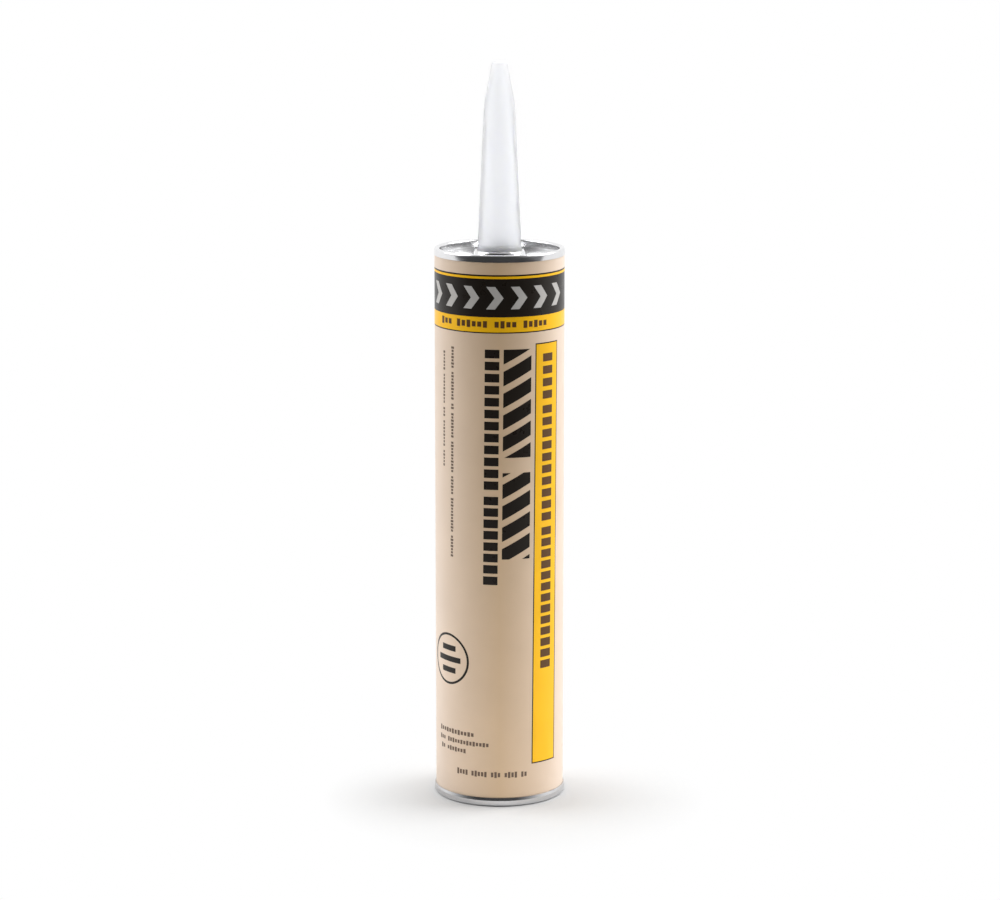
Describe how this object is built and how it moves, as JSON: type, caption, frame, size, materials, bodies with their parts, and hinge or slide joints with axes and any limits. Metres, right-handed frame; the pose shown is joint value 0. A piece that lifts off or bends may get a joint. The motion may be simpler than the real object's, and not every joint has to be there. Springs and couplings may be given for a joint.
{
  "type": "construction adhesive cartridge",
  "caption": "Paperboard adhesive cartridge with a seamed metal front end, a sealed tapered nozzle, a printed label and a sliding plunger behind the adhesive.",
  "frame": {"origin": "middle of the rear ring's foot, where the cartridge stands", "axes": "+Z along the cartridge towards the nozzle's tip; the print faces -Y"},
  "size_m": [0.0512, 0.0512, 0.2865],
  "materials": {
    "paperboard": "plain wound board",
    "label_paper": "coated, satin",
    "tinplate": "bright",
    "nozzle_plastic": "waxy, slightly translucent",
    "seal_foil": "bright",
    "adhesive_paste": "smooth paste",
    "plunger_plastic": "waxy",
    "yellow_ink": "printed, satin",
    "black_ink": "printed, satin",
    "brown_ink": "printed, satin",
    "grey_ink": "printed, satin"
  },
  "bodies": {
    "cartridge": {"tube_body": "paperboard", "label": "label_paper", "front_end": "tinplate", "nozzle": "nozzle_plastic", "foil_seal": "seal_foil", "adhesive": "adhesive_paste", "rear_ring": "tinplate", "yellow_print": "yellow_ink", "black_print": "black_ink", "brown_print": "brown_ink", "grey_print": "grey_ink"},
    "plunger": {"plunger": "plunger_plastic"}
  },
  "joints": [
    {"name": "plunger_slide", "type": "slide", "parent": "cartridge", "child": "plunger", "axis": [0, 0, 1], "range_m": [0, 0.1726], "deforming": ["adhesive"]}
  ]
}
